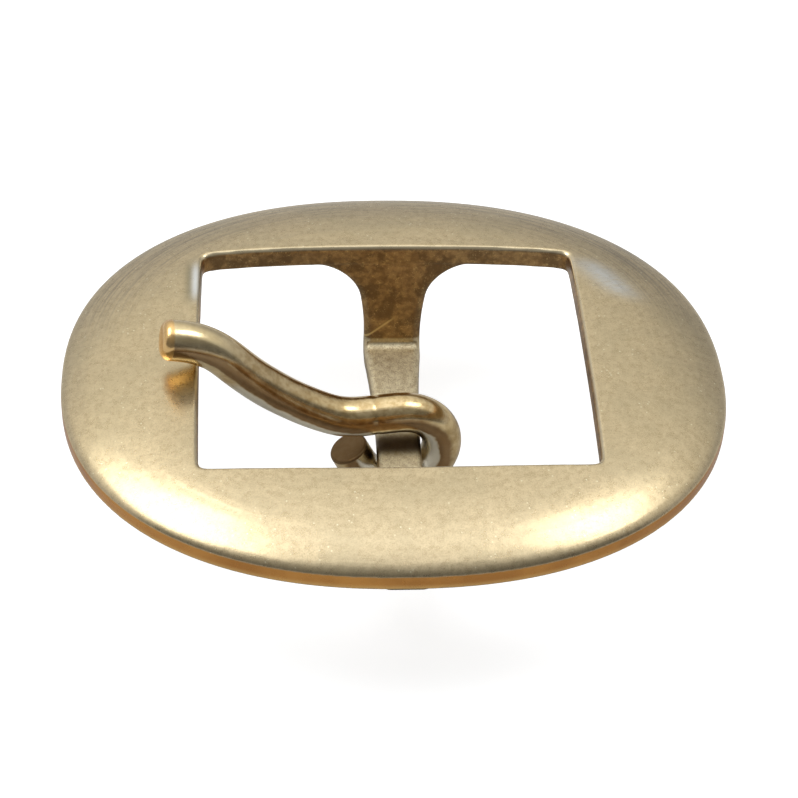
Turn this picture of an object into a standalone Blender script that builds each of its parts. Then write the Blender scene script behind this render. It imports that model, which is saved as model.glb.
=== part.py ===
"""Centre-bar belt buckle: a domed oval frame cast in one with its dropped bar, and a wire prong.

World axes: +X along the belt, away from the prong's tip; +Y across the belt; +Z out of the
buckle's face.  The origin is the middle of the bar's flat top, where the belt folds round it.
"""

import math

import bmesh
import bpy
from mathutils import Matrix, Vector

MM = 0.001

# Oval outline and window, seen from above
OUTLINE_LENGTH = 65.0 * MM
OUTLINE_WIDTH = 56.2 * MM
OUTLINE_POWER = 2.25          # 2 would be a plain ellipse
WINDOW_LENGTH = 37.6 * MM
WINDOW_WIDTH = 31.7 * MM
WINDOW_SHIFT = -0.15 * MM     # of the window along the belt, from the middle of the oval
WINDOW_POWER = 40.0           # high, so that only the corners are round
WINDOW_BOW_ENDS = 0.13 * MM   # how far the window's short edges bow out
WINDOW_BOW_SIDES = 0.5 * MM   # how far its long edges bow out

# Section of the oval band
RIM_HEIGHT = 1.9 * MM         # from the rim's foot to the edge of the dome
CROWN_RISE = 2.75 * MM        # from the edge of the dome to its flat crown
CROWN_POWER = 6.9             # how late the crown rolls down to the rim
WALL = 2.35 * MM               # thickness of the hollow-backed band
WINDOW_ROUND = 0.6 * MM       # rounding of the window's upper edge
RIM_ROUND = 0.8 * MM          # rounding of the rim
FOOT_WIDTH = 1.5 * MM         # flat foot of the rim
EDGE_BREAK = 0.25 * MM        # small rounding of every lower edge

# Centre bar and its two legs
BAR_DROP = 7.7 * MM           # from the rim's foot down to the bar's flat top
BAR_OFFSET = 0.75 * MM        # the bar stands this far past the middle of the oval
BAR_WIDTH = 4.5 * MM
BAR_WIDENING = 0.7 * MM       # added to each side of the bar towards its bends
BAR_THICKNESS = 2.65 * MM
BAR_THICKENING = 0.35 * MM    # added to the thickness towards the bends
BAR_HALF_SPAN = 15.35 * MM    # from the bar's middle to the inner face of a leg
LEG_RECESS = 0.05 * MM        # the leg's face lies this far behind the window's wall
LEG_ROOT_DEPTH = 1.2 * MM     # how far a leg reaches up inside the band
LEG_FLARE = 4.2 * MM          # radius of the fillets where a leg meets the band
LEG_TAPER = 1.5 * MM          # added to each side of a leg from its bend up to the band
BEND_RADIUS = 0.9 * MM        # inside radius of the bends
BEND_FILL = 0.35              # extra metal on the outside of the bends
BAR_TOP_ROUND = 0.7 * MM
BAR_BACK_ROUND = 1.4 * MM

# Wire prong, as a wire bender would make it, starting on top of its loop
WIRE_DIAMETER = 4.0 * MM
HINGE_DEPTH = 1.15 * MM       # hinge axis below the bar's flat top
LOOP_RADIUS = 4.53 * MM       # of the wire's centre line
LOOP_TAKE_OFF = 91.0          # degrees round the loop where the shank leaves it
LOOP_END = -155.0             # degrees round the loop where its round part ends
LOOP_TAIL = 2.3 * MM          # straight wire after that, up to the cut end
SHANK_BENDS = (               # (straight length, bend radius, turn in degrees; + is upwards)
    (3.8 * MM, 6.8 * MM, 29.5),
    (0.0, 32.0 * MM, 20.7),
    (1.8 * MM, 8.3 * MM, -42.0),
)
TIP_ROUND = 0.9 * MM
PRONG_SKEW = 7.5              # degrees that the loose prong lies off square to the bar
PRONG_SHIFT = 0.9 * MM        # where its loop sits along the bar

RIM_FOOT_Z = BAR_DROP
OVAL_CENTRE = Vector((-BAR_OFFSET, 0.0, 0.0))
HINGE = Vector((0.0, PRONG_SHIFT, -HINGE_DEPTH))

# Fineness of the faceting
RAYS_PER_SPAN = 24            # between two corners of the window
RAYS_PER_CORNER = 4
CROWN_STEPS = 7
ROUND_STEPS = 3
BEND_STEPS = 6
LEG_STEPS = 7
BAR_STEPS = 6
WIRE_SIDES = 14


def clear_scene():
    for existing in list(bpy.data.objects):
        bpy.data.objects.remove(existing, do_unlink=True)


def brass(name, colour, roughness):
    """A Principled brass of the given colour."""
    material = bpy.data.materials.new(name)
    material.use_nodes = True
    shader = material.node_tree.nodes["Principled BSDF"]
    shader.inputs["Base Color"].default_value = (*colour, 1.0)
    shader.inputs["Metallic"].default_value = 1.0
    shader.inputs["Roughness"].default_value = roughness
    return material


def loft(name, rings, material, closed):
    """A solid through rings of equally many points; closed joins the last ring to the first."""
    mesh = bpy.data.meshes.new(name)
    shape = bmesh.new()
    loops = [[shape.verts.new(point) for point in ring] for ring in rings]
    pairs = list(zip(loops, loops[1:]))
    if closed:
        pairs.append((loops[-1], loops[0]))
    for lower, upper in pairs:
        for i in range(len(lower)):
            j = (i + 1) % len(lower)
            shape.faces.new((lower[i], lower[j], upper[j], upper[i]))
    if not closed:
        shape.faces.new(list(reversed(loops[0])))
        shape.faces.new(loops[-1])
    bmesh.ops.recalc_face_normals(shape, faces=shape.faces)
    shape.to_mesh(mesh)
    shape.free()
    mesh.materials.append(material)
    solid = bpy.data.objects.new(name, mesh)
    bpy.context.collection.objects.link(solid)
    return solid


def shade(solid, angle):
    solid.data.shade_smooth()
    solid.data.set_sharp_from_angle(angle=math.radians(angle))


# ---------------------------------------------------------------- oval band

def outline_reach(angle):
    """Distance from the oval's centre to its outline, along a ray."""
    across = abs(math.cos(angle)) / (OUTLINE_LENGTH / 2)
    along = abs(math.sin(angle)) / (OUTLINE_WIDTH / 2)
    return (across**OUTLINE_POWER + along**OUTLINE_POWER) ** (-1 / OUTLINE_POWER)


def window_reach(angle, grow):
    """Distance to the window's edge along a ray, for the window grown by grow all round."""
    half_length = WINDOW_LENGTH / 2 + grow
    half_width = WINDOW_WIDTH / 2 + grow
    low = 0.0
    high = outline_reach(angle)
    for _ in range(40):
        reach = (low + high) / 2
        x = reach * math.cos(angle) - WINDOW_SHIFT
        y = reach * math.sin(angle)
        edge_x = half_length + WINDOW_BOW_ENDS * (1 - (y / half_width) ** 2)
        edge_y = half_width + WINDOW_BOW_SIDES * (1 - (x / half_length) ** 2)
        if abs(x / edge_x) ** WINDOW_POWER + abs(y / edge_y) ** WINDOW_POWER < 1:
            low = reach
        else:
            high = reach
    return low


def crown_height(reach, angle):
    """Height of the dome's surface over the rim's foot."""
    outwards = reach / outline_reach(angle)
    return RIM_HEIGHT + CROWN_RISE * (1 - outwards**CROWN_POWER)


def ray_angles():
    """Ray directions, all round, set closer together where they meet the window's corners."""
    corner = math.atan2(WINDOW_WIDTH, WINDOW_LENGTH)
    spread = math.radians(3.0)
    starts = (corner, math.pi - corner, math.pi + corner, 2 * math.pi - corner)
    angles = []
    for i, middle in enumerate(starts):
        after = starts[(i + 1) % 4] + (2 * math.pi if i == 3 else 0.0)
        for k in range(RAYS_PER_CORNER):
            angles.append(middle + spread * (2 * k / RAYS_PER_CORNER - 1))
        gap = (after - spread) - (middle + spread)
        for k in range(RAYS_PER_SPAN):
            angles.append(middle + spread + gap * k / RAYS_PER_SPAN)
    return angles


def curve_point(start, corner, end, t):
    """A point of the smooth arc that leaves start towards corner and reaches end."""
    return start * (1 - t) ** 2 + corner * (2 * t * (1 - t)) + end * t**2


def band_section(angle):
    """The band's closed section along one ray, as (distance from centre, height over foot)."""
    outer = outline_reach(angle)
    inner = window_reach(angle, 0.0)
    rounded = window_reach(angle, WINDOW_ROUND)
    crown_edge = outer - RIM_ROUND
    foot_edge = outer - FOOT_WIDTH
    section = []

    # window wall, then its rounded upper edge
    wall_foot = crown_height(inner, angle) - WALL
    section.append(Vector((inner, wall_foot + EDGE_BREAK)))
    wall_top = Vector((inner, crown_height(inner, angle) - WINDOW_ROUND))
    edge = Vector((inner, crown_height(inner, angle)))
    brow = Vector((rounded, crown_height(rounded, angle)))
    for k in range(ROUND_STEPS + 1):
        section.append(curve_point(wall_top, edge, brow, k / ROUND_STEPS))

    # crown
    for k in range(1, CROWN_STEPS):
        part = 1 - (1 - k / CROWN_STEPS) ** 1.5
        reach = rounded + (crown_edge - rounded) * part
        section.append(Vector((reach, crown_height(reach, angle))))

    # rolled rim and its side
    shoulder = Vector((crown_edge, crown_height(crown_edge, angle)))
    rim = Vector((outer, RIM_HEIGHT))
    side = Vector((outer, RIM_HEIGHT - RIM_ROUND / 2))
    for k in range(ROUND_STEPS + 1):
        section.append(curve_point(shoulder, rim, side, k / ROUND_STEPS))
    section.append(Vector((outer, EDGE_BREAK)))

    # foot and hollow back
    section.append(Vector((outer - EDGE_BREAK, 0.0)))
    section.append(Vector((foot_edge, 0.0)))
    back_edge = inner + EDGE_BREAK
    for k in range(1, CROWN_STEPS - 1):
        reach = foot_edge + (back_edge - foot_edge) * k / (CROWN_STEPS - 2)
        section.append(Vector((reach, max(crown_height(reach, angle) - WALL, 0.0))))
    return section


def oval_band(material):
    rings = []
    for angle in ray_angles():
        ray = Vector((math.cos(angle), math.sin(angle), 0.0))
        lift = Vector((0.0, 0.0, RIM_FOOT_Z))
        section = band_section(angle)
        rings.append([OVAL_CENTRE + lift + ray * p.x + Vector((0.0, 0.0, p.y)) for p in section])
    return loft("frame_casting", rings, material, closed=True)


# ---------------------------------------------------------------- centre bar

def bar_outline(half_width, thickness):
    """The bar's section: (sideways, depth below its flat face), going round once."""
    points = []
    corners = (
        (half_width, 0.0, BAR_TOP_ROUND, 90.0),
        (half_width, thickness, BAR_BACK_ROUND, 0.0),
        (-half_width, thickness, BAR_BACK_ROUND, -90.0),
        (-half_width, 0.0, BAR_TOP_ROUND, -180.0),
    )
    for side, depth, radius, start in corners:
        centre_x = side - math.copysign(radius, side)
        centre_d = depth + radius if depth == 0.0 else depth - radius
        for k in range(ROUND_STEPS + 1):
            turn = math.radians(start - 90.0 * k / ROUND_STEPS)
            points.append((centre_x + radius * math.cos(turn), centre_d - radius * math.sin(turn)))
    return points


def bar_stations():
    """Half of the bar, from its middle to the root of the far leg.

    Each station is (point on the flat face, direction into the metal, half width, thickness),
    with points and directions in the YZ plane.
    """
    wall_y = WINDOW_WIDTH / 2 + WINDOW_BOW_SIDES + LEG_RECESS
    wall_foot_z = RIM_FOOT_Z + RIM_HEIGHT + CROWN_RISE - WALL
    lean = math.atan2(wall_y - BAR_HALF_SPAN, wall_foot_z)
    bend = math.pi / 2 - lean
    set_back = BEND_RADIUS * math.tan(bend / 2)
    bar_end = BAR_HALF_SPAN - set_back
    root_z = wall_foot_z + LEG_ROOT_DEPTH
    wide = BAR_WIDTH / 2 + BAR_WIDENING
    thick = BAR_THICKNESS + BAR_THICKENING
    stations = []

    for k in range(BAR_STEPS + 1):
        part = k / BAR_STEPS
        half_width = BAR_WIDTH / 2 + BAR_WIDENING * part**2
        thickness = BAR_THICKNESS + BAR_THICKENING * part**2
        stations.append((Vector((0, bar_end * part, 0)), Vector((0, 0, -1)), half_width, thickness))

    pivot = Vector((0, bar_end, BEND_RADIUS))
    for k in range(1, BEND_STEPS):
        turn = bend * k / BEND_STEPS
        inwards = Vector((0, math.sin(turn), -math.cos(turn)))
        filled = thick * (1 + BEND_FILL * math.sin(math.pi * k / BEND_STEPS) ** 2)
        stations.append((pivot + inwards * BEND_RADIUS, inwards, wide, filled))

    inwards = Vector((0, math.sin(bend), -math.cos(bend)))
    along = Vector((0, math.cos(bend), math.sin(bend)))
    leg_start = pivot + inwards * BEND_RADIUS
    leg_length = (wall_foot_z - leg_start.z) / along.z
    for k in range(LEG_STEPS + 1):
        part = 1 - (1 - k / LEG_STEPS) ** 2
        left = leg_length * (1 - part)
        rise = max(LEG_FLARE - left, 0.0)
        flare = LEG_FLARE - math.sqrt(LEG_FLARE**2 - rise**2)
        half_width = wide + LEG_TAPER * part**2 + flare
        stations.append((leg_start + along * (leg_length * part), inwards, half_width, thick))
    root = leg_start + along * ((root_z - leg_start.z) / along.z)
    stations.append((root, inwards, wide + LEG_TAPER + LEG_FLARE, thick))
    return stations


def centre_bar(material):
    """The U of bar and legs, from the near root to the far root."""
    far = bar_stations()
    near = []
    for point, inwards, half_width, thickness in reversed(far[1:]):
        flipped = (Vector((0, -point.y, point.z)), Vector((0, -inwards.y, inwards.z)))
        near.append((*flipped, half_width, thickness))
    sideways = Vector((1, 0, 0))
    rings = []
    for point, inwards, half_width, thickness in near + far:
        outline = bar_outline(half_width, thickness)
        rings.append([point + sideways * x + inwards * depth for x, depth in outline])
    return loft("bar_blank", rings, material, closed=False)


def frame_casting():
    """The oval band with the bar and its legs grown into it."""
    material = brass("aged_brass_satin", (0.48, 0.39, 0.23), 0.38)
    band = oval_band(material)
    bar = centre_bar(material)
    bar.hide_render = True
    bar.display_type = "WIRE"
    union = band.modifiers.new("cast_in_one", "BOOLEAN")
    union.operation = "UNION"
    union.object = bar
    shade(band, 35)
    return band


# ---------------------------------------------------------------- prong

def wire_path():
    """Centre line of the wire from its cut end round the loop to the tip, in the XZ plane."""
    path = []
    step = math.radians(15.0)
    start = math.radians(LOOP_END)
    end = math.radians(LOOP_TAKE_OFF)
    tail = Vector((math.sin(start), 0, -math.cos(start))) * LOOP_TAIL
    path.append(Vector((LOOP_RADIUS * math.cos(start), 0, LOOP_RADIUS * math.sin(start))) + tail)
    steps = round((end - start) / step)
    for k in range(steps + 1):
        turn = start + (end - start) * k / steps
        path.append(Vector((LOOP_RADIUS * math.cos(turn), 0, LOOP_RADIUS * math.sin(turn))))

    heading = end + math.pi / 2
    for straight, radius, turn in SHANK_BENDS:
        ahead = Vector((math.cos(heading), 0, math.sin(heading)))
        if straight > 0:
            path.append(path[-1] + ahead * straight)
        turn = math.radians(turn)
        side = math.copysign(1.0, turn)
        centre = path[-1] + Vector((ahead.z, 0, -ahead.x)) * (side * radius)
        arm = path[-1] - centre
        steps = max(3, round(abs(turn) / math.radians(6.0)))
        for k in range(1, steps + 1):
            path.append(centre + Matrix.Rotation(turn * k / steps, 3, "Y") @ arm)
        heading -= turn
    return path


def wire_ring(centre, ahead, radius):
    """A ring of points round the wire, square to its direction."""
    across = Vector((0, 1, 0))
    outwards = ahead.cross(across)
    ring = []
    for k in range(WIRE_SIDES):
        turn = 2 * math.pi * k / WIRE_SIDES
        ring.append(centre + (across * math.cos(turn) + outwards * math.sin(turn)) * radius)
    return ring


def rounded_end(centre, ahead, rounding):
    """Rings that close the wire's end with a rounded edge, from the full wire outwards."""
    rings = []
    for k in range(1, ROUND_STEPS + 1):
        turn = math.pi / 2 * k / ROUND_STEPS
        radius = WIRE_DIAMETER / 2 - rounding * (1 - math.cos(turn))
        rings.append(wire_ring(centre + ahead * (rounding * math.sin(turn)), ahead, radius))
    return rings


def prong():
    path = wire_path()
    rings = []
    for i, point in enumerate(path):
        before = path[max(i - 1, 0)]
        after = path[min(i + 1, len(path) - 1)]
        rings.append(wire_ring(point, (after - before).normalized(), WIRE_DIAMETER / 2))
    cut_direction = (path[0] - path[1]).normalized()
    cut_rings = []
    for ring in rounded_end(path[0], -cut_direction, -EDGE_BREAK):
        cut_rings.insert(0, ring)
    tip_direction = (path[-1] - path[-2]).normalized()
    tip_rings = rounded_end(path[-1], tip_direction, TIP_ROUND)
    material = brass("aged_brass_wire", (0.45, 0.33, 0.16), 0.25)
    wire = loft("prong", cut_rings + rings + tip_rings, material, closed=False)
    wire.location = HINGE
    wire.rotation_euler = (0, 0, math.radians(PRONG_SKEW))
    shade(wire, 40)
    return wire


clear_scene()
frame_casting()
prong()
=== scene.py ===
"""Looks of the centre-bar belt buckle: aged satin brass casting and a wire prong.

Lengths are in millimetres until a mesh is written, then in metres, in the frame's own axes.
"""

import math

import bpy
import numpy as np
from mathutils import Matrix, Vector


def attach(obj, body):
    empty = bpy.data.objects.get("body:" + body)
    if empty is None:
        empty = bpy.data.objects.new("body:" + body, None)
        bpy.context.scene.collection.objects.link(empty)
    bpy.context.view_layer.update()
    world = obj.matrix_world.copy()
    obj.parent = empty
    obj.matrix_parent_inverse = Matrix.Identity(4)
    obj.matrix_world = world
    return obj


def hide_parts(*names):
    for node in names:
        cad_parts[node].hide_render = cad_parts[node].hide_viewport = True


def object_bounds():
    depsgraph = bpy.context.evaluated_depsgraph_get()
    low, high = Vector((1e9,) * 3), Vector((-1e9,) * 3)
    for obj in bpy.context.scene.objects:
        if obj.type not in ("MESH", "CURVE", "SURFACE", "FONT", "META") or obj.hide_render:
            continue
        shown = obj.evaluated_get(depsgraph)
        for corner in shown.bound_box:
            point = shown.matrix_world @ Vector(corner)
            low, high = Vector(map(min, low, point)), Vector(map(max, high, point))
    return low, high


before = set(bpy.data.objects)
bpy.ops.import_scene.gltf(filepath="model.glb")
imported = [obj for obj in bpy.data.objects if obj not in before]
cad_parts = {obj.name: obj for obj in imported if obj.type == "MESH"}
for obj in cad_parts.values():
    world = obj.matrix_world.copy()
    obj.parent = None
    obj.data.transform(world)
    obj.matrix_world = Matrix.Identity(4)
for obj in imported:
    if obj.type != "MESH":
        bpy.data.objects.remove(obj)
cad_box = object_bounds()

MM = 0.001

# Oval outline, window and the band's section, as the CAD has them
OUTLINE_LENGTH = 65.0
OUTLINE_WIDTH = 56.2
OUTLINE_POWER = 2.25
WINDOW_LENGTH = 37.6
WINDOW_WIDTH = 31.7
WINDOW_SHIFT = -0.15
WINDOW_POWER = 40.0
WINDOW_BOW_ENDS = 0.13
WINDOW_BOW_SIDES = 0.5
RIM_HEIGHT = 1.9
CROWN_RISE = 2.75
CROWN_POWER = 6.9
WALL = 2.35
WINDOW_ROUND = 0.6
RIM_ROUND = 0.8
FOOT_WIDTH = 1.5
EDGE_BREAK = 0.25

# Centre bar and legs
BAR_DROP = 7.7
BAR_OFFSET = 0.75
BAR_WIDTH = 4.5
BAR_WIDENING = 0.7
BAR_THICKNESS = 2.65
BAR_THICKENING = 0.35
BAR_HALF_SPAN = 15.35
LEG_RECESS = 0.05
LEG_ROOT_DEPTH = 1.2
LEG_FLARE = 4.2
LEG_TAPER = 1.5
BEND_RADIUS = 0.9
BEND_FILL = 0.35
BAR_TOP_ROUND = 0.7
BAR_BACK_ROUND = 1.4

# Wire prong, as a wire bender would make it, starting on top of its loop
WIRE_RADIUS = 2.0
HINGE = (0.0, 0.9, -1.15)
LOOP_RADIUS = 4.53            # of the wire's centre line
LOOP_TAKE_OFF = 91.0          # degrees round the loop where the shank leaves it
LOOP_END = -155.0             # degrees round the loop where its round part ends
LOOP_TAIL = 2.3               # straight wire after that, up to the cut end
SHANK_BENDS = (               # (straight length, bend radius, turn in degrees; + is upwards)
    (3.8, 6.8, 29.5),
    (0.0, 32.0, 20.7),
    (1.8, 8.3, -42.0),
)
PRONG_SKEW = 7.5              # degrees that the loose prong lies off square to the bar
BEND_EASE = 0.9               # length over which a bend's curvature comes on
TIP_ROUND = 0.9
TIP_DOMING = 0.08
CUT_ROUND = 0.3               # rounding of the loop's cut end
CUT_DOMING = 0.05
SWELL = 0.006                 # unevenness of the wire's radius, as a share of it
CREASE_AT = 24.1              # along the wire from its cut end: a crease left by bending
CREASE_DEPTH = 0.032          # as a share of the wire's radius
CREASE_REACH = 0.30

# Marks of the file and a scratch, and where shade, shadow and sheen are painted, in the frame's own XY
GROOVE_AT = (-20.35, 11.3)    # the file's groove beside the window's left end, painted bright as a bluish-white reflection
GROOVE_HALF_SIZE = (0.36, 2.9)
GROOVE_DEPTH = 0.05
BORDER_AT = (-20.4, 11.3)     # painted shade round that groove
BORDER_HALF_SIZE = (0.95, 3.3)
PATCH_AT = (21.3, 11.6)       # brushed patch beside the window's right end, with a painted bluish-white sheen
PATCH_HALF_SIZE = (1.7, 3.1)
PATCH_LEAN = 0.62             # how far it moves in +X for each step in -Y
PAINTED_LOOP_SHADOW_Y = -0.1               # painted shadow of the prong's loop: where the bar is painted dark beneath it
PAINTED_LOOP_SHADOW_HALF_WIDTH = 1.5
NICK_HEIGHT = 3.3             # a scratch on the far leg crosses the middle at this height
NICK_SLOPE = 0.8

# Camera: where it stands round the buckle, in degrees and millimetres, and its lens
CAMERA_AZIMUTH = -4.06
CAMERA_ELEVATION = 41.0
CAMERA_ROLL = 2.12
CAMERA_DISTANCE = 236.17
CAMERA_LENS = 107.98
CAMERA_SHIFT = (0.00664, -0.01955)
CAMERA_AIM_Z = 8.0

# Light: direction, width, depth and radiance of each softbox; lengths in metres
SOFTBOX_DISTANCE = 0.5
SOFTBOX_TINT = (0.95, 0.975, 1.0)
SOFTBOX_LEFT = ((-0.53, 0.06, 0.85), 0.31, 0.26, 2.7)
SOFTBOX_RIGHT = ((0.47, 0.06, 0.878), 0.18, 0.17, 3.0)
FLOOR_HALF_SIZE = 1.5
FLOOR_GAP = 0.02 * MM         # under the part's lowest point
FLOOR_GREY = 0.62
FLOOR_FILL = 0.75             # glow of the floor, seen by the camera alone

# Fineness of the meshes
RAYS_PER_SPAN = 96            # between two corners of the window
RAYS_PER_CORNER = 24
CORNER_SPREAD = 3.0           # degrees to each side of a corner that get the corner's rays
HALVINGS = 40                 # of the interval in which a ray meets the window's edge
WALL_STEPS = 6
CROWN_STEPS = 40
BACK_STEPS = 24
ROUND_STEPS = 8
BAR_STEPS = 30
BEND_STEPS = 16
LEG_STEPS = 30
VOXEL = 0.15
SOFTENING = 5
LOOP_STEPS = 120
TAIL_STEPS = 8
STRAIGHT_STEPS = 10
SHANK_STEPS = 40
WIRE_STEP = 0.16
WIRE_SIDES = 72
END_ROUND_RINGS = 12
END_FACE_RINGS = 8

OVAL_X = -BAR_OFFSET
FLOOR_Z = cad_box[0][2] - FLOOR_GAP


# ---------------------------------------------------------------- meshes

def mesh_object(name, points, faces):
    """A mesh object from points in millimetres."""
    mesh = bpy.data.meshes.new(name)
    mesh.from_pydata([tuple(c * MM for c in p) for p in points], [], faces)
    mesh.update()
    piece = bpy.data.objects.new(name, mesh)
    bpy.context.collection.objects.link(piece)
    return piece


def loft(name, rings, closed):
    """A closed skin through rings of equally many points."""
    sides = len(rings[0])
    points = [p for ring in rings for p in ring]
    faces = []
    spans = len(rings) if closed else len(rings) - 1
    for a in range(spans):
        b = (a + 1) % len(rings)
        for i in range(sides):
            j = (i + 1) % sides
            faces.append((a * sides + i, a * sides + j, b * sides + j, b * sides + i))
    if not closed:
        faces.append(tuple(range(sides - 1, -1, -1)))
        last = (len(rings) - 1) * sides
        faces.append(tuple(range(last, last + sides)))
    return mesh_object(name, points, faces)


def curve_point(start, corner, end, t):
    """A point of the arc-like curve that rounds a corner."""
    weights = ((1 - t) ** 2, 2 * t * (1 - t), t**2)
    return tuple(sum(w * c for w, c in zip(weights, axis)) for axis in zip(start, corner, end))


def smooth_step(low, high, value):
    """0 below low, 1 above high, and a smooth rise between them."""
    part = np.clip((value - low) / (high - low), 0.0, 1.0)
    return part * part * (3 - 2 * part)


# ---------------------------------------------------------------- oval band

def outline_reach(angle):
    """Distance from the oval's centre to its outline."""
    across = abs(math.cos(angle)) / (OUTLINE_LENGTH / 2)
    along = abs(math.sin(angle)) / (OUTLINE_WIDTH / 2)
    return (across**OUTLINE_POWER + along**OUTLINE_POWER) ** (-1 / OUTLINE_POWER)


def window_reach(angle, grow):
    """Distance from the oval's centre to the window's edge, grown outwards by grow."""
    half_length = WINDOW_LENGTH / 2 + grow
    half_width = WINDOW_WIDTH / 2 + grow
    low = 0.0
    high = outline_reach(angle)
    for _ in range(HALVINGS):
        reach = (low + high) / 2
        x = reach * math.cos(angle) - WINDOW_SHIFT
        y = reach * math.sin(angle)
        edge_x = half_length + WINDOW_BOW_ENDS * (1 - (y / half_width) ** 2)
        edge_y = half_width + WINDOW_BOW_SIDES * (1 - (x / half_length) ** 2)
        if abs(x / edge_x) ** WINDOW_POWER + abs(y / edge_y) ** WINDOW_POWER < 1:
            low = reach
        else:
            high = reach
    return low


def crown_height(reach, angle):
    """Height of the domed face over the rim's foot."""
    return RIM_HEIGHT + CROWN_RISE * (1 - (reach / outline_reach(angle)) ** CROWN_POWER)


def ray_angles():
    """Angles of the rays from the oval's centre, closer together at the window's corners."""
    corner = math.atan2(WINDOW_WIDTH, WINDOW_LENGTH)
    spread = math.radians(CORNER_SPREAD)
    starts = (corner, math.pi - corner, math.pi + corner, 2 * math.pi - corner)
    angles = []
    for i, middle in enumerate(starts):
        after = starts[(i + 1) % 4] + (2 * math.pi if i == 3 else 0.0)
        for k in range(RAYS_PER_CORNER):
            angles.append(middle + spread * (2 * k / RAYS_PER_CORNER - 1))
        gap = (after - spread) - (middle + spread)
        for k in range(RAYS_PER_SPAN):
            angles.append(middle + spread + gap * k / RAYS_PER_SPAN)
    return angles


def band_section(angle):
    """The band's section along one ray: (distance from the oval's centre, height over the foot)."""
    outer = outline_reach(angle)
    inner = window_reach(angle, 0.0)
    rounded = window_reach(angle, WINDOW_ROUND)
    crown_edge = outer - RIM_ROUND
    foot_edge = outer - FOOT_WIDTH
    section = []
    wall_foot = crown_height(inner, angle) - WALL
    wall_top = (inner, crown_height(inner, angle) - WINDOW_ROUND)
    wall_rise = wall_top[1] - wall_foot - EDGE_BREAK
    for k in range(WALL_STEPS):
        section.append((inner, wall_foot + EDGE_BREAK + wall_rise * k / WALL_STEPS))
    edge = (inner, crown_height(inner, angle))
    brow = (rounded, crown_height(rounded, angle))
    for k in range(ROUND_STEPS + 1):
        section.append(curve_point(wall_top, edge, brow, k / ROUND_STEPS))
    for k in range(1, CROWN_STEPS):
        part = 1 - (1 - k / CROWN_STEPS) ** 1.5
        reach = rounded + (crown_edge - rounded) * part
        section.append((reach, crown_height(reach, angle)))
    shoulder = (crown_edge, crown_height(crown_edge, angle))
    rim = (outer, RIM_HEIGHT)
    side = (outer, RIM_HEIGHT - RIM_ROUND / 2)
    for k in range(ROUND_STEPS + 1):
        section.append(curve_point(shoulder, rim, side, k / ROUND_STEPS))
    section.append((outer, EDGE_BREAK))
    section.append((outer - EDGE_BREAK, 0.0))
    section.append((foot_edge, 0.0))
    back_edge = inner + EDGE_BREAK
    for k in range(1, BACK_STEPS + 1):
        reach = foot_edge + (back_edge - foot_edge) * k / BACK_STEPS
        section.append((reach, max(crown_height(reach, angle) - WALL, 0.0)))
    return section


def oval_band():
    """The hollow-backed band, as a skin through one section for each ray."""
    rings = []
    for angle in ray_angles():
        c = math.cos(angle)
        s = math.sin(angle)
        rings.append([(OVAL_X + r * c, r * s, BAR_DROP + h) for r, h in band_section(angle)])
    return loft("band_blank", rings, closed=True)


# ---------------------------------------------------------------- centre bar

def bar_outline(half_width, thickness):
    """The bar's section: (distance across it, depth under its flat face)."""
    points = []
    corners = (
        (half_width, 0.0, BAR_TOP_ROUND, 90.0),
        (half_width, thickness, BAR_BACK_ROUND, 0.0),
        (-half_width, thickness, BAR_BACK_ROUND, -90.0),
        (-half_width, 0.0, BAR_TOP_ROUND, -180.0),
    )
    for side, depth, radius, start in corners:
        centre_x = side - math.copysign(radius, side)
        centre_d = depth + radius if depth == 0.0 else depth - radius
        for k in range(ROUND_STEPS + 1):
            turn = math.radians(start - 90.0 * k / ROUND_STEPS)
            points.append((centre_x + radius * math.cos(turn), centre_d - radius * math.sin(turn)))
    return points


def bar_stations():
    """Half of the bar, from its middle to the far leg's root.

    Each station is (middle of the flat face, direction into the metal, half width, thickness).
    """
    wall_y = WINDOW_WIDTH / 2 + WINDOW_BOW_SIDES + LEG_RECESS
    wall_foot_z = BAR_DROP + RIM_HEIGHT + CROWN_RISE - WALL
    lean = math.atan2(wall_y - BAR_HALF_SPAN, wall_foot_z)
    bend = math.pi / 2 - lean
    bar_end = BAR_HALF_SPAN - BEND_RADIUS * math.tan(bend / 2)
    root_z = wall_foot_z + LEG_ROOT_DEPTH
    wide = BAR_WIDTH / 2 + BAR_WIDENING
    thick = BAR_THICKNESS + BAR_THICKENING
    stations = []
    for k in range(BAR_STEPS + 1):
        part = k / BAR_STEPS
        stations.append((Vector((0, bar_end * part, 0)), Vector((0, 0, -1)),
                         BAR_WIDTH / 2 + BAR_WIDENING * part**2,
                         BAR_THICKNESS + BAR_THICKENING * part**2))
    pivot = Vector((0, bar_end, BEND_RADIUS))
    for k in range(1, BEND_STEPS):
        turn = bend * k / BEND_STEPS
        inwards = Vector((0, math.sin(turn), -math.cos(turn)))
        filled = thick * (1 + BEND_FILL * math.sin(math.pi * k / BEND_STEPS) ** 2)
        stations.append((pivot + inwards * BEND_RADIUS, inwards, wide, filled))
    inwards = Vector((0, math.sin(bend), -math.cos(bend)))
    along = Vector((0, math.cos(bend), math.sin(bend)))
    leg_start = pivot + inwards * BEND_RADIUS
    leg_length = (wall_foot_z - leg_start.z) / along.z
    for k in range(LEG_STEPS + 1):
        part = 1 - (1 - k / LEG_STEPS) ** 2
        rise = max(LEG_FLARE - leg_length * (1 - part), 0.0)
        flare = LEG_FLARE - math.sqrt(LEG_FLARE**2 - rise**2)
        half_width = wide + LEG_TAPER * part**2 + flare
        stations.append((leg_start + along * (leg_length * part), inwards, half_width, thick))
    root = leg_start + along * ((root_z - leg_start.z) / along.z)
    stations.append((root, inwards, wide + LEG_TAPER + LEG_FLARE, thick))
    return stations


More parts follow.
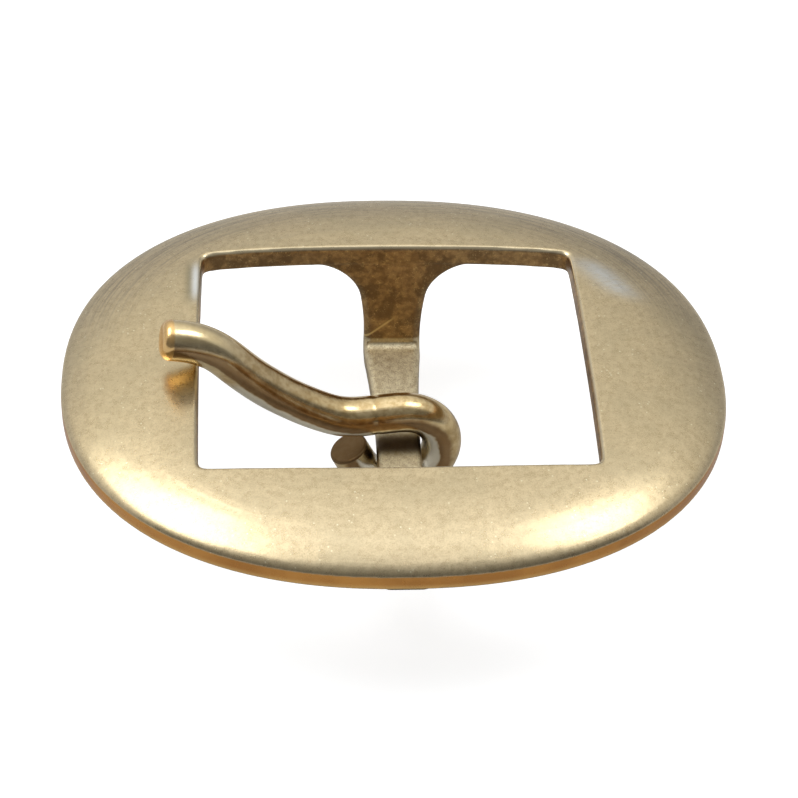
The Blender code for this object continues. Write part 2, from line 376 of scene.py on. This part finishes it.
def centre_bar():
    """The flat bar with its bends and both legs, which reach up into the band."""
    far = bar_stations()
    near = []
    for point, inwards, half_width, thickness in reversed(far[1:]):
        near.append((Vector((0, -point.y, point.z)), Vector((0, -inwards.y, inwards.z)),
                     half_width, thickness))
    sideways = Vector((1, 0, 0))
    rings = []
    for point, inwards, half_width, thickness in near + far:
        outline = bar_outline(half_width, thickness)
        rings.append([tuple(point + sideways * x + inwards * d) for x, d in outline])
    return loft("bar_blank", rings, closed=False)


# ---------------------------------------------------------------- frame casting

def vertex_array(mesh, attribute):
    values = np.empty(len(mesh.vertices) * 3, dtype=np.float32)
    mesh.vertices.foreach_get(attribute, values)
    return values.reshape(-1, 3).astype(np.float64)


def store_colour(mesh, name, channels):
    layer = mesh.color_attributes.new(name, "FLOAT_COLOR", "POINT")
    values = np.ones((len(mesh.vertices), 4), dtype=np.float32)
    for i, channel in enumerate(channels):
        values[:, i] = channel
    layer.data.foreach_set("color", values.ravel())


def store_vector(mesh, name, vectors):
    layer = mesh.attributes.new(name, "FLOAT_VECTOR", "POINT")
    layer.data.foreach_set("vector", np.asarray(vectors, dtype=np.float32).ravel())


def mark(x, y, place, half_size, sharpness=2):
    """1 in the middle of an upright mark, falling to 0 past its half size."""
    return np.exp(-(((x - place[0]) / half_size[0]) ** sharpness) - ((y - place[1]) / half_size[1]) ** 4)


def file_marks(x, y):
    """Where the window's two far corners were worked with a file: groove painted as a bright reflection,
    painted shade round it, brushed patch with a painted sheen.
    """
    groove = mark(x, y, GROOVE_AT, GROOVE_HALF_SIZE)
    border = mark(x, y, BORDER_AT, BORDER_HALF_SIZE, 4) - groove
    leant = x - (PATCH_AT[1] - y) * PATCH_LEAN
    patch = mark(leant, y, PATCH_AT, PATCH_HALF_SIZE)
    return groove, np.maximum(border, 0.0), patch


def grown_together(band, bar):
    """One soft-edged mesh from the two blanks, which it uses up."""
    blank = bpy.data.meshes.new("casting_blank")
    points = vertex_array(band.data, "co").tolist() + vertex_array(bar.data, "co").tolist()
    shift = len(band.data.vertices)
    faces = [tuple(f.vertices) for f in band.data.polygons]
    faces += [tuple(v + shift for v in f.vertices) for f in bar.data.polygons]
    blank.from_pydata(points, [], faces)
    for done in (band, bar):
        bpy.data.objects.remove(done, do_unlink=True)
    piece = bpy.data.objects.new("frame_body", blank)
    bpy.context.collection.objects.link(piece)

    remesh = piece.modifiers.new("grow_together", "REMESH")
    remesh.mode = "VOXEL"
    remesh.voxel_size = VOXEL * MM
    soften = piece.modifiers.new("soften", "SMOOTH")
    soften.factor = 0.5
    soften.iterations = SOFTENING
    evaluated = piece.evaluated_get(bpy.context.evaluated_depsgraph_get())
    cast = bpy.data.meshes.new_from_object(evaluated)
    piece.modifiers.clear()
    piece.data = cast
    return piece


def store_finish(cast, where, upwards, outwards, marks):
    """Write on the casting how each place is finished, and where shade and light are painted.

    finish_and_painted_light: R recess and legs, G rim's side (painted shade), B underside and back
    wear:   R bar's flat face, G painted shadow of the loop, B brow of the window's edge (rubbed, with a painted highlight)
    filed:  R groove (painted bright reflection), G its border (painted shade), B brushed patch (painted
    sheen)
    lay:    cosine and sine of the angle round the oval, and the share of the way to its outline
    """
    x = where[:, 0] - OVAL_X
    y = where[:, 1]
    on_band = smooth_step(-0.15, 0.05, where[:, 2] - BAR_DROP)
    inside = 1 - smooth_step(0.86, 0.93, outwards)
    upright = 1 - smooth_step(0.30, 0.80, upwards)
    leg = (1 - on_band) * smooth_step(0.55, 1.15, where[:, 2])
    recess = np.maximum(upright * inside * on_band, leg)
    side = (1 - smooth_step(0.05, 0.55, upwards)) * (1 - inside)
    under = smooth_step(0.15, 0.7, -upwards)
    store_colour(cast, "finish_and_painted_light", (recess, side, under))
    bar_face = smooth_step(0.5, 0.8, upwards) * (1 - on_band) * (1 - leg)
    painted_loop_shadow = np.exp(-(((y - PAINTED_LOOP_SHADOW_Y) / PAINTED_LOOP_SHADOW_HALF_WIDTH) ** 4)) * (1 - on_band)
    tilted = smooth_step(0.25, 0.6, upwards) * (1 - smooth_step(0.85, 0.98, upwards))
    store_colour(cast, "wear_and_painted_light", (bar_face, painted_loop_shadow, inside * on_band * tilted))
    store_colour(cast, "file_marks_and_painted_sheen", [on_band * one for one in marks])
    turn = np.arctan2(y, x)
    store_vector(cast, "lay", np.stack([np.cos(turn), np.sin(turn), outwards], axis=1))


def frame_casting():
    """Band and bar grown together, with every joint and edge softened as cast metal is."""
    piece = grown_together(oval_band(), centre_bar())
    cast = piece.data
    where = vertex_array(cast, "co") / MM
    upwards = vertex_array(cast, "normal")[:, 2]
    across = np.abs((where[:, 0] - OVAL_X) / (OUTLINE_LENGTH / 2)) ** OUTLINE_POWER
    along = np.abs(where[:, 1] / (OUTLINE_WIDTH / 2)) ** OUTLINE_POWER
    outwards = (across + along) ** (1 / OUTLINE_POWER)

    # lay the voxels of the open face exactly on the dome, and press the filed groove into it
    dome = RIM_HEIGHT + CROWN_RISE * (1 - np.minimum(outwards, 1.0) ** CROWN_POWER)
    off = dome - (where[:, 2] - BAR_DROP)
    near_dome = 1 - smooth_step(0.04, 0.12, np.abs(off))
    hold = smooth_step(0.6, 0.9, upwards) * near_dome * (1 - smooth_step(0.93, 0.965, outwards))
    marks = file_marks(where[:, 0], where[:, 1])
    store_finish(cast, where, upwards, outwards, marks)
    where[:, 2] += hold * (off - GROOVE_DEPTH * marks[0])
    cast.vertices.foreach_set("co", (where * MM).ravel())
    cast.update()
    cast.shade_smooth()
    return piece


# ---------------------------------------------------------------- prong

def wire_path():
    """Centre line of the wire in the XZ plane, round the hinge, as an array."""
    path = []
    start = math.radians(LOOP_END)
    end = math.radians(LOOP_TAKE_OFF)
    first = Vector((LOOP_RADIUS * math.cos(start), 0, LOOP_RADIUS * math.sin(start)))
    tail = Vector((math.sin(start), 0, -math.cos(start)))
    for k in range(TAIL_STEPS):
        path.append(first + tail * (LOOP_TAIL * (1 - k / TAIL_STEPS)))
    for k in range(LOOP_STEPS + 1):
        turn = start + (end - start) * k / LOOP_STEPS
        path.append(Vector((LOOP_RADIUS * math.cos(turn), 0, LOOP_RADIUS * math.sin(turn))))
    heading = end + math.pi / 2
    for straight, radius, degrees in SHANK_BENDS:
        ahead = Vector((math.cos(heading), 0, math.sin(heading)))
        base = path[-1]
        if straight > 0:
            for k in range(1, STRAIGHT_STEPS + 1):
                path.append(base + ahead * (straight * k / STRAIGHT_STEPS))
        turn = math.radians(degrees)
        centre = path[-1] + Vector((ahead.z, 0, -ahead.x)) * math.copysign(radius, turn)
        arm = path[-1] - centre
        for k in range(1, SHANK_STEPS + 1):
            path.append(centre + Matrix.Rotation(turn * k / SHANK_STEPS, 3, "Y") @ arm)
        heading -= turn
    return np.array([tuple(p) for p in path])


def even_smooth(path, step, blur):
    """The path with even steps, and its changes of curvature eased over about blur."""
    gaps = np.linalg.norm(np.diff(path, axis=0), axis=1)
    run = np.concatenate([[0.0], np.cumsum(gaps)])
    count = int(round(run[-1] / step))
    even = np.linspace(0.0, run[-1], count + 1)
    points = np.stack([np.interp(even, run, path[:, i]) for i in range(3)], axis=1)
    for _ in range(int((blur / step) ** 2)):
        middle = (points[:-2] + points[2:]) / 2
        points[1:-1] = points[1:-1] * 0.5 + middle * 0.5
    return points


def wire_end(centre, forward, rounding, doming):
    """(centre, radius) of the rings from the full wire out to the middle of its end face."""
    rings = []
    for k in range(1, END_ROUND_RINGS + 1):
        turn = math.pi / 2 * k / END_ROUND_RINGS
        radius = WIRE_RADIUS - rounding * (1 - math.cos(turn))
        rings.append((centre + forward * (rounding * math.sin(turn)), radius))
    flat = WIRE_RADIUS - rounding
    for k in range(1, END_FACE_RINGS + 1):
        part = k / (END_FACE_RINGS + 0.2)
        rise = rounding + doming * (1 - (1 - part) ** 2)
        rings.append((centre + forward * rise, flat * (1 - part)))
    return rings


def wire_radius(along):
    """The wire's radius, a little uneven, with the crease that bending left."""
    swell = SWELL * math.sin(along * 0.9) * math.sin(along * 0.37 + 1.0)
    crease = CREASE_DEPTH * math.exp(-((along - CREASE_AT) / CREASE_REACH) ** 2)
    return WIRE_RADIUS * (1 + swell - crease)


def prong():
    """The wire as rings of points; every point also knows its place along and round the wire."""
    path = even_smooth(wire_path(), WIRE_STEP, BEND_EASE)
    ahead = np.gradient(path, axis=0)
    ahead /= np.linalg.norm(ahead, axis=1)[:, None]
    length = WIRE_STEP * (len(path) - 1)
    stations = []
    for centre, radius in reversed(wire_end(path[0], -ahead[0], CUT_ROUND, CUT_DOMING)):
        stations.append((centre, ahead[0], radius, 0.0))
    for i, point in enumerate(path):
        along = i * WIRE_STEP
        stations.append((point, ahead[i], wire_radius(along), along))
    for centre, radius in wire_end(path[-1], ahead[-1], TIP_ROUND, TIP_DOMING):
        stations.append((centre, ahead[-1], radius, length))

    sideways = np.array([0.0, 1.0, 0.0])
    skew = Matrix.Rotation(math.radians(PRONG_SKEW), 3, "Z")
    turns = np.linspace(0, 2 * math.pi, WIRE_SIDES, endpoint=False)
    rings = []
    lay = []
    for centre, direction, radius, along in stations:
        inwards = np.cross(direction, sideways)
        ring = []
        for turn in turns:
            c = math.cos(turn)
            s = math.sin(turn)
            ring.append(tuple(Vector(HINGE) + skew @ Vector(centre + (sideways * c + inwards * s) * radius)))
            lay.append((along, c * WIRE_RADIUS, s * WIRE_RADIUS))
        rings.append(ring)
    piece = loft("prong_wire", rings, closed=False)
    piece.data.shade_smooth()

    # finish: R cut end, G tip's face, B share of the way along the wire; the cut end takes painted shade and
    # the tip's face a painted reflection
    end_points = (END_ROUND_RINGS + END_FACE_RINGS) * WIRE_SIDES
    cut = np.zeros(len(lay))
    cut[:end_points] = 1.0
    tip = np.zeros(len(lay))
    tip[-end_points - WIRE_SIDES:] = 1.0
    store_colour(piece.data, "finish_and_painted_light", (cut, tip, np.array(lay)[:, 0] / length))
    store_vector(piece.data, "lay", lay)
    return piece


# ---------------------------------------------------------------- materials

class Graph:
    """Small helper to write the nodes of a material or of the world."""

    def __init__(self, owner):
        owner.use_nodes = True
        self.owner = owner
        self.tree = owner.node_tree

    def add(self, kind, settings=None, **inputs):
        made = self.tree.nodes.new(kind)
        for key, value in (settings or {}).items():
            setattr(made, key, value)
        for key, value in inputs.items():
            self.put(made, key.replace("_", " "), value)
        return made

    def put(self, target, socket, value):
        place = target.inputs[int(socket)] if socket.isdigit() else target.inputs[socket]
        if isinstance(value, bpy.types.NodeSocket):
            self.tree.links.new(value, place)
        else:
            place.default_value = value

    def math(self, operation, a, b=0.0, c=0.0):
        made = self.add("ShaderNodeMath", {"operation": operation})
        for i, value in enumerate((a, b, c)):
            self.put(made, str(i), value)
        return made.outputs[0]

    def times(self, a, b):
        return self.math("MULTIPLY", a, b)

    def noise(self, vector, scale, detail=2.0, rough=0.5):
        made = self.add("ShaderNodeTexNoise", Vector=vector, Scale=scale, Detail=detail, Roughness=rough)
        return made.outputs["Fac"]

    def spread(self, value, low, high, to_low=0.0, to_high=1.0):
        made = self.add("ShaderNodeMapRange", {"interpolation_type": "SMOOTHSTEP"}, Value=value,
                        From_Min=low, From_Max=high, To_Min=to_low, To_Max=to_high)
        return made.outputs[0]

    def mix(self, factor, a, b):
        made = self.add("ShaderNodeMix", {"data_type": "RGBA"})
        self.put(made, "0", factor)
        for i, value in ((6, a), (7, b)):
            if isinstance(value, tuple):
                value = (*value, 1.0)
            self.put(made, str(i), value)
        return made.outputs[2]

    def scaled(self, vector, scale):
        made = self.add("ShaderNodeMapping", {"vector_type": "POINT"}, Vector=vector)
        made.inputs["Scale"].default_value = scale
        return made.outputs[0]

    def split(self, vector):
        return tuple(self.add("ShaderNodeSeparateXYZ", Vector=vector).outputs)

    def millimetres(self):
        """Place on the piece, in millimetres."""
        return self.scaled(self.add("ShaderNodeTexCoord").outputs["Object"], (1 / MM, 1 / MM, 1 / MM))

    def vector(self, name):
        return self.add("ShaderNodeAttribute", {"attribute_name": name}).outputs["Vector"]

    def channels(self, name):
        """The three channels of a colour stored on the mesh."""
        stored = self.add("ShaderNodeAttribute", {"attribute_name": name})
        return tuple(self.add("ShaderNodeSeparateColor", Color=stored.outputs["Color"]).outputs)

    def metal(self, colour, rough, normal):
        shader = self.tree.nodes["Principled BSDF"]
        self.put(shader, "Base Color", colour)
        self.put(shader, "Roughness", rough)
        self.put(shader, "Normal", normal)
        self.put(shader, "Metallic", 1.0)


def nick(g, place):
    """1 along a scratch that climbs the inner face of the far leg."""
    x, y, z = g.split(place)
    off_line = g.math("SUBTRACT", z, g.math("MULTIPLY_ADD", x, NICK_SLOPE, NICK_HEIGHT))
    line = g.spread(g.math("ABSOLUTE", off_line), 0.07, 0.20, 1.0, 0.0)
    line = g.times(line, g.spread(x, -0.6, 0.5, 0.9, 0.0))
    line = g.times(line, g.spread(y, 10.0, 12.0))
    return g.times(line, g.spread(y, 16.9, 17.4, 1.0, 0.0))


def recess_brass(g, place, grain, mottle):
    """Brown metal of the window's walls and the legs, with dark blotches and specks of bare gold."""
    brown = g.mix(g.spread(mottle, 0.32, 0.68), (0.24, 0.130, 0.048), (0.50, 0.30, 0.12))
    blotch = g.spread(g.noise(place, 0.45, 4.0, 0.65), 0.46, 0.58, 0.0, 0.8)
    brown = g.mix(blotch, brown, (0.10, 0.05, 0.018))
    brown = g.mix(0.14, brown, (0.85, 0.52, 0.22))
    gold = g.times(g.spread(grain, 0.56, 0.68), g.spread(mottle, 0.45, 0.62))
    return g.mix(g.math("MAXIMUM", gold, nick(g, place)), brown, (0.85, 0.60, 0.25))


def rim_brass(g, place, cloud):
    """Painted shade on the rim's side: warm and dark, with a painted lighter reflection towards its foot."""
    warm = g.mix(g.spread(cloud, 0.35, 0.65), (0.48, 0.192, 0.034), (0.64, 0.285, 0.058))
    painted_foot_reflection = g.spread(g.split(place)[2], BAR_DROP, BAR_DROP + 0.95, 0.85, 0.0)
    return g.mix(painted_foot_reflection, warm, (0.90, 0.58, 0.21))


def file_marked(g, place, colour):
    """The given colour, with the file's groove painted as a bright reflection, painted shade on its border
    and a painted sheen on the brushed patch laid over it.
    """
    groove, border, patch = g.channels("file_marks_and_painted_sheen")
    lines = g.noise(g.scaled(place, (1.1, 9.0, 1.0)), 1.0, 2.0, 0.6)
    brushed_painted_sheen = g.times(patch, g.spread(lines, 0.25, 0.60, 0.45, 1.0))
    colour = g.mix(g.times(border, 0.7), colour, (0.24, 0.22, 0.14))
    colour = g.mix(g.times(groove, 0.85), colour, (0.93, 0.96, 0.95))
    return g.mix(g.times(brushed_painted_sheen, 0.75), colour, (0.82, 0.84, 0.82))


def brass_casting():
    """Satin brass with an aged skin, brushed far rim, brown recesses and rubbed edges, with painted light:
    dark reflections streaked round the far rim, shade on the rim's side, the loop's shadow on the bar, a
    highlight on the window's brow and sheen on the file marks.
    """
    g = Graph(bpy.data.materials.new("aged_brass_satin"))
    place = g.millimetres()
    lay = g.vector("lay")
    recess, side, under = g.channels("finish_and_painted_light")
    bar_face, painted_loop_shadow, brow = g.channels("wear_and_painted_light")

    grain = g.noise(place, 7.0, 3.0, 0.6)
    mottle = g.noise(place, 1.5, 4.0, 0.6)
    cloud = g.noise(place, 0.16, 3.0, 0.55)
    tone = g.math("MULTIPLY_ADD", mottle, 0.45, g.times(grain, 0.55))
    streak = g.noise(g.scaled(lay, (3.0, 3.0, 160.0)), 1.0, 3.0, 0.6)
    sweep = g.noise(g.scaled(lay, (1.6, 1.6, 26.0)), 1.0, 2.0, 0.5)
    cells = g.add("ShaderNodeTexVoronoi", {"feature": "F1"}, Vector=place, Scale=1.7, Randomness=1.0)
    speck = g.spread(cells.outputs["Distance"], 0.08, 0.19, 1.0, 0.0)
    speck = g.times(speck, g.spread(g.noise(place, 0.42, 2.0), 0.50, 0.60))

    # the open face, with dark streaks painted round the far rim as reflections along its brush lines
    colour = g.mix(g.spread(tone, 0.33, 0.66), (0.58, 0.455, 0.262), (0.80, 0.645, 0.395))
    colour = g.mix(g.spread(cloud, 0.35, 0.70, 0.0, 0.35), colour, (0.58, 0.485, 0.30))
    towards_far, outwards = g.split(lay)[1:]
    far_rim = g.times(g.spread(outwards, 0.74, 0.92), g.spread(towards_far, 0.0, 0.6))
    far_rim_painted_streaks = g.times(g.spread(streak, 0.46, 0.62), g.math("MULTIPLY_ADD", far_rim, 0.75, 0.03))
    # painted reflection: darker streaks round the far rim
    colour = g.mix(far_rim_painted_streaks, colour, (0.38, 0.31, 0.21))
    colour = g.mix(g.times(speck, 0.8), colour, (1.0, 0.90, 0.62))

    # everything else, from the window down to the back
    colour = g.mix(g.spread(recess, 0.1, 0.9, 0.0, 0.95), colour, recess_brass(g, place, grain, mottle))
    pale = g.mix(g.spread(tone, 0.36, 0.62), (0.62, 0.49, 0.29), (1.0, 0.91, 0.65))
    colour = g.mix(g.times(bar_face, 0.8), colour, pale)
    # painted shadow: the bar painted near black under the prong's loop
    colour = g.mix(g.times(painted_loop_shadow, 0.95), colour, (0.075, 0.045, 0.022))
    # brow of the window's edge made lighter: rubbed edge with a painted highlight
    colour = g.mix(g.times(brow, 0.6), colour, (0.93, 0.80, 0.54))
    # file marks: painted reflection in the groove, painted shade round it, painted sheen on the patch
    colour = file_marked(g, place, colour)
    # painted shade on the rim's side, with a painted lighter reflection at its foot
    colour = g.mix(g.spread(side, 0.05, 0.7, 0.0, 0.92), colour, rim_brass(g, place, cloud))
    skin = g.mix(g.spread(tone, 0.35, 0.65), (0.30, 0.21, 0.11), (0.55, 0.42, 0.22))
    colour = g.mix(under, colour, skin)

    rough = g.math("MULTIPLY_ADD", mottle, 0.06, 0.25)
    rough = g.math("MULTIPLY_ADD", recess, 0.12, rough)
    rough = g.math("MULTIPLY_ADD", bar_face, 0.26, rough)
    rough = g.math("MULTIPLY_ADD", under, 0.18, rough)

    height = g.math("MULTIPLY_ADD", grain, 0.4, g.times(mottle, 0.2))
    height = g.math("MULTIPLY_ADD", streak, g.math("MULTIPLY_ADD", far_rim, 0.25, 0.06), height)
    height = g.math("MULTIPLY_ADD", g.times(grain, bar_face), 2.0, height)
    height = g.math("MULTIPLY_ADD", speck, -0.2, height)
    fine = g.add("ShaderNodeBump", Strength=0.27, Distance=0.04 * MM, Height=height)
    waves = g.math("MULTIPLY_ADD", sweep, 0.35, cloud)
    broad = g.add("ShaderNodeBump", Strength=0.22, Distance=0.4 * MM, Height=waves, Normal=fine.outputs[0])
    g.metal(colour, rough, broad.outputs[0])
    return g.owner


def brass_wire():
    """Glossy brass, with a dark reflection painted along its flank, a pale reflection of the floor painted
    on its belly, a painted highlight towards the tip, a painted amber reflection on the tip's face and
    painted shade on the cut end.
    """
    g = Graph(bpy.data.materials.new("aged_brass_wire"))
    place = g.millimetres()
    lay = g.vector("lay")
    cut, tip, run = g.channels("finish_and_painted_light")
    drawn = g.noise(g.scaled(lay, (0.25, 6.0, 6.0)), 1.0, 3.0, 0.6)
    mottle = g.noise(place, 1.3, 4.0, 0.6)
    cloud = g.noise(place, 0.35, 3.0, 0.55)
    grain = g.noise(place, 8.0, 2.0, 0.5)

    # how far round towards the loop's inner side, with a wandering border
    wander = g.math("MULTIPLY_ADD", g.noise(g.scaled(lay, (0.5, 0.6, 0.6)), 1.0, 3.0, 0.6), 0.7, -0.35)
    inward = g.math("ADD", g.split(lay)[2], wander)
    not_ends = g.times(g.math("SUBTRACT", 1.0, cut), g.math("SUBTRACT", 1.0, tip))
    # painted dark reflection along the wire's flank
    painted_flank_shade = g.times(g.spread(inward, -1.05, -0.45), g.spread(inward, 0.35, 0.65, 1.0, 0.0))
    painted_flank_shade = g.times(painted_flank_shade, not_ends)
    # painted pale reflection of the floor along the wire's belly
    painted_belly_reflection = g.times(g.spread(inward, 0.40, 0.70), g.spread(run, 0.81, 0.85, 1.0, 0.0))
    painted_belly_reflection = g.times(painted_belly_reflection, not_ends)
    # painted highlight: the wire lighter towards its tip
    painted_tip_highlight = g.spread(run, 0.84, 0.92)

    colour = g.mix(g.spread(mottle, 0.35, 0.65), (0.66, 0.47, 0.22), (0.88, 0.68, 0.37))
    colour = g.mix(g.spread(cloud, 0.48, 0.66, 0.0, 0.4), colour, (0.50, 0.34, 0.15))
    colour = g.mix(g.times(painted_tip_highlight, 0.6), colour, (0.97, 0.80, 0.48))
    colour = g.mix(g.times(painted_flank_shade, 0.85), colour, (0.25, 0.135, 0.055))
    colour = g.mix(g.times(painted_belly_reflection, 0.85), colour, (0.98, 0.92, 0.74))
    # painted amber reflection of the band on the tip's face
    colour = g.mix(g.times(tip, 0.7), colour, (0.95, 0.56, 0.19))
    # painted shade on the cut end, which lies in the shank's shadow
    colour = g.mix(g.times(cut, 0.9), colour, (0.165, 0.095, 0.042))

    rough = g.math("MULTIPLY_ADD", mottle, 0.12, 0.13)
    rough = g.math("MULTIPLY_ADD", cut, 0.2, rough)
    height = g.math("MULTIPLY_ADD", drawn, 0.35, g.times(mottle, 0.35))
    height = g.math("MULTIPLY_ADD", grain, 0.2, height)
    bump = g.add("ShaderNodeBump", Strength=0.30, Distance=0.04 * MM, Height=height)
    g.metal(colour, rough, bump.outputs[0])
    return g.owner


# ---------------------------------------------------------------- stage, light and camera

def floor():
    """White paper, with a glow that only the camera sees, so that the brass reflects a dimmer floor."""
    half = FLOOR_HALF_SIZE
    corners = [(x, y, FLOOR_Z) for x, y in ((-half, -half), (half, -half), (half, half), (-half, half))]
    mesh = bpy.data.meshes.new("floor")
    mesh.from_pydata(corners, [], [(0, 1, 2, 3)])
    plane = bpy.data.objects.new("floor", mesh)
    bpy.context.collection.objects.link(plane)
    g = Graph(bpy.data.materials.new("white_paper"))
    shader = g.tree.nodes["Principled BSDF"]
    g.put(shader, "Base Color", (FLOOR_GREY, FLOOR_GREY, FLOOR_GREY, 1.0))
    g.put(shader, "Roughness", 0.9)
    g.put(shader, "Emission Color", (1.0, 1.0, 1.0, 1.0))
    seen = g.add("ShaderNodeLightPath").outputs["Is Camera Ray"]
    g.put(shader, "Emission Strength", g.times(seen, FLOOR_FILL))
    plane.data.materials.append(g.owner)


def softbox(name, direction, width, depth, radiance):
    """A lamp that faces the origin from the given direction."""
    light = bpy.data.lights.new(name, "AREA")
    light.shape = "RECTANGLE"
    light.size = width
    light.size_y = depth
    light.color = SOFTBOX_TINT
    light.energy = radiance * math.pi * width * depth
    lamp = bpy.data.objects.new(name, light)
    towards = Vector(direction).normalized()
    lamp.location = towards * SOFTBOX_DISTANCE
    lamp.rotation_euler = towards.to_track_quat("Z", "Y").to_euler()
    bpy.context.collection.objects.link(lamp)


def surround():
    """A soft grey room: brightest overhead, dim in front, dimmer to the right and in one far corner."""
    world = bpy.data.worlds.new("room")
    bpy.context.scene.world = world
    g = Graph(world)
    direction = g.add("ShaderNodeTexCoord").outputs["Generated"]
    rightwards, away, upwards = g.split(direction)
    ramp = g.add("ShaderNodeValToRGB", Fac=upwards)
    stops = (
        (0.0, (0.40, 0.41, 0.44)),
        (0.30, (0.43, 0.44, 0.47)),
        (0.65, (0.68, 0.68, 0.66)),
        (0.90, (0.97, 0.99, 1.02)),
        (1.0, (1.07, 1.10, 1.16)),
    )
    while len(ramp.color_ramp.elements) < len(stops):
        ramp.color_ramp.elements.new(0.5)
    for element, (position, colour) in zip(ramp.color_ramp.elements, stops):
        element.position = position
        element.color = (*colour, 1.0)
    front = g.spread(away, -0.42, -0.10, 0.28, 1.0)
    across = g.spread(rightwards, -0.75, 0.75, 1.30, 1.0)
    far_corner = g.add("ShaderNodeVectorMath", {"operation": "DOT_PRODUCT"})
    g.put(far_corner, "0", direction)
    g.put(far_corner, "1", Vector((0.453, 0.842, 0.294)).normalized())
    dim = g.spread(far_corner.outputs["Value"], 0.94, 0.985, 1.0, 0.82)
    lit = g.add("ShaderNodeVectorMath", {"operation": "SCALE"})
    g.put(lit, "0", ramp.outputs[0])
    g.put(lit, "Scale", g.times(g.times(front, across), dim))
    g.put(g.tree.nodes["Background"], "Color", lit.outputs[0])


def camera():
    """Looks down at the oval's middle from in front."""
    azimuth = math.radians(CAMERA_AZIMUTH)
    elevation = math.radians(CAMERA_ELEVATION)
    level = math.cos(elevation)
    back = Vector((math.sin(azimuth) * level, -math.cos(azimuth) * level, math.sin(elevation)))
    roll = Matrix.Rotation(math.radians(CAMERA_ROLL), 3, back)
    right = roll @ Vector((math.cos(azimuth), math.sin(azimuth), 0.0))
    up = back.cross(right)
    lens = bpy.data.cameras.new("camera")
    lens.sensor_width = 36.0
    lens.lens = CAMERA_LENS
    lens.shift_x, lens.shift_y = CAMERA_SHIFT
    lens.clip_start = 0.01
    lens.clip_end = 10.0
    view = bpy.data.objects.new("camera", lens)
    bpy.context.collection.objects.link(view)
    aim = Vector((OVAL_X, 0.0, CAMERA_AIM_Z))
    turn = Matrix((right, up, back)).transposed()
    view.matrix_world = Matrix.Translation((aim + back * CAMERA_DISTANCE) * MM) @ turn.to_4x4()
    bpy.context.scene.camera = view


casting = frame_casting()
casting.data.materials.clear()
casting.data.materials.append(brass_casting())
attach(casting, "frame")
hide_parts("frame_casting")

wire = prong()
wire.data.materials.append(brass_wire())
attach(wire, "prong")
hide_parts("prong")

floor()
surround()
softbox("softbox_left", *SOFTBOX_LEFT)
softbox("softbox_right", *SOFTBOX_RIGHT)
camera()
bpy.context.scene.view_settings.view_transform = "Standard"
